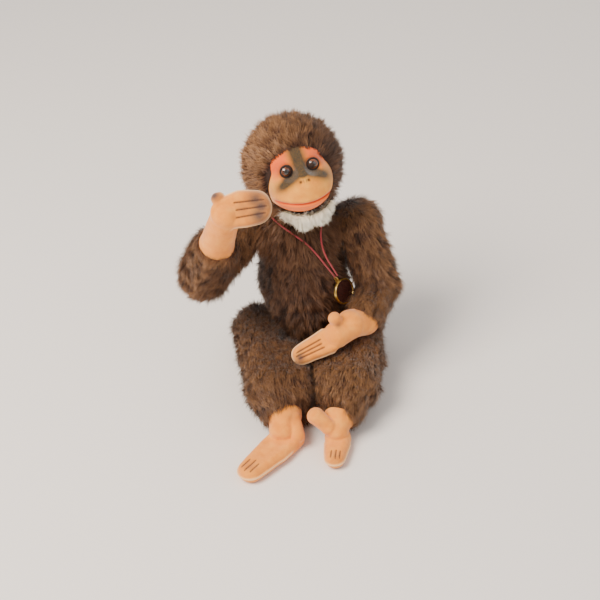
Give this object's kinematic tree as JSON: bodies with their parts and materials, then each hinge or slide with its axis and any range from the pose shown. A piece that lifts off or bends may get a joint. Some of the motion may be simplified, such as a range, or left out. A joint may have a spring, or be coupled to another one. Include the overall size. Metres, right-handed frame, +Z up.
{
  "type": "jointed mohair toy monkey",
  "caption": "Sitting mohair toy monkey with felt face, hands and feet, disc-jointed neck, shoulders and hips, and a medallion on a red neck thread.",
  "frame": {"origin": "centre of the flat seat under the trunk", "axes": "+Z up along the spine and the neck's axis, -Y forward, +X to the toy's own left"},
  "size_m": [0.2168, 0.241, 0.278],
  "materials": {
    "brown_mohair": "long brown mohair pile",
    "beard_mohair": "dense cream mohair",
    "face_felt": "peach felt with airbrushed shading",
    "limb_felt": "peach felt with stitched fingers and toes",
    "lip_felt": "orange felt",
    "eye_glass": "brown glass with a black pupil",
    "wood_wool": "wood wool stuffing",
    "fibreboard": "hard board",
    "steel": "plain steel",
    "brass": "polished brass",
    "inlay_enamel": "dark brown enamel",
    "red_thread": "twisted red cotton"
  },
  "bodies": {
    "torso": {"left_hip_trunk_disc": "fibreboard", "left_hip_trunk_washer": "steel", "left_shoulder_trunk_disc": "fibreboard", "left_shoulder_trunk_washer": "steel", "neck_thread": "red_thread", "neck_trunk_disc": "fibreboard", "neck_trunk_washer": "steel", "right_hip_trunk_disc": "fibreboard", "right_hip_trunk_washer": "steel", "right_shoulder_trunk_disc": "fibreboard", "right_shoulder_trunk_washer": "steel", "torso_cover": "brown_mohair", "torso_stuffing": "wood_wool"},
    "head": {"beard": "beard_mohair", "face_felt": "face_felt", "face_filling": "wood_wool", "head_cover": "brown_mohair", "head_stuffing": "wood_wool", "left_eye_shank": "steel", "left_glass_eye": "eye_glass", "lower_lip": "lip_felt", "neck_limb_disc": "fibreboard", "neck_limb_washer": "steel", "neck_split_pin": "steel", "right_eye_shank": "steel", "right_glass_eye": "eye_glass"},
    "right_arm": {"right_arm_cover": "brown_mohair", "right_arm_stuffing": "wood_wool", "right_hand_felt": "limb_felt", "right_hand_filling": "wood_wool", "right_shoulder_limb_disc": "fibreboard", "right_shoulder_limb_washer": "steel", "right_shoulder_split_pin": "steel"},
    "left_arm": {"left_arm_cover": "brown_mohair", "left_arm_stuffing": "wood_wool", "left_hand_felt": "limb_felt", "left_hand_filling": "wood_wool", "left_shoulder_limb_disc": "fibreboard", "left_shoulder_limb_washer": "steel", "left_shoulder_split_pin": "steel"},
    "right_leg": {"right_foot_felt": "limb_felt", "right_foot_filling": "wood_wool", "right_hip_limb_disc": "fibreboard", "right_hip_limb_washer": "steel", "right_hip_split_pin": "steel", "right_leg_cover": "brown_mohair", "right_leg_stuffing": "wood_wool"},
    "left_leg": {"left_foot_felt": "limb_felt", "left_foot_filling": "wood_wool", "left_hip_limb_disc": "fibreboard", "left_hip_limb_washer": "steel", "left_hip_split_pin": "steel", "left_leg_cover": "brown_mohair", "left_leg_stuffing": "wood_wool"},
    "medallion": {"jump_ring": "brass", "medallion_inlay": "inlay_enamel", "medallion_rim": "brass"}
  },
  "joints": [
    {"name": "neck_turn", "type": "hinge", "parent": "torso", "child": "head", "pos_m": [0, 0, 0.186], "axis": [0, 0, 1], "continuous": true},
    {"name": "right_shoulder_swing", "type": "hinge", "parent": "torso", "child": "right_arm", "pos_m": [-0.04, 0, 0.16], "axis": [1, 0, 0], "range_deg": [0, 75]},
    {"name": "left_shoulder_swing", "type": "hinge", "parent": "torso", "child": "left_arm", "pos_m": [0.04, 0, 0.16], "axis": [-1, 0, 0], "range_deg": [0, 85]},
    {"name": "right_hip_swing", "type": "hinge", "parent": "torso", "child": "right_leg", "pos_m": [-0.029, 0, 0.034], "axis": [1, 0, 0], "range_deg": [0, 90]},
    {"name": "left_hip_swing", "type": "hinge", "parent": "torso", "child": "left_leg", "pos_m": [0.029, 0, 0.034], "axis": [1, 0, 0], "range_deg": [0, 90]},
    {"name": "medallion_swing", "type": "hinge", "parent": "torso", "child": "medallion", "pos_m": [0.033, -0.033, 0.115], "axis": [-0.6979, 0.648, -0.3051], "range_deg": [0, 30]}
  ]
}
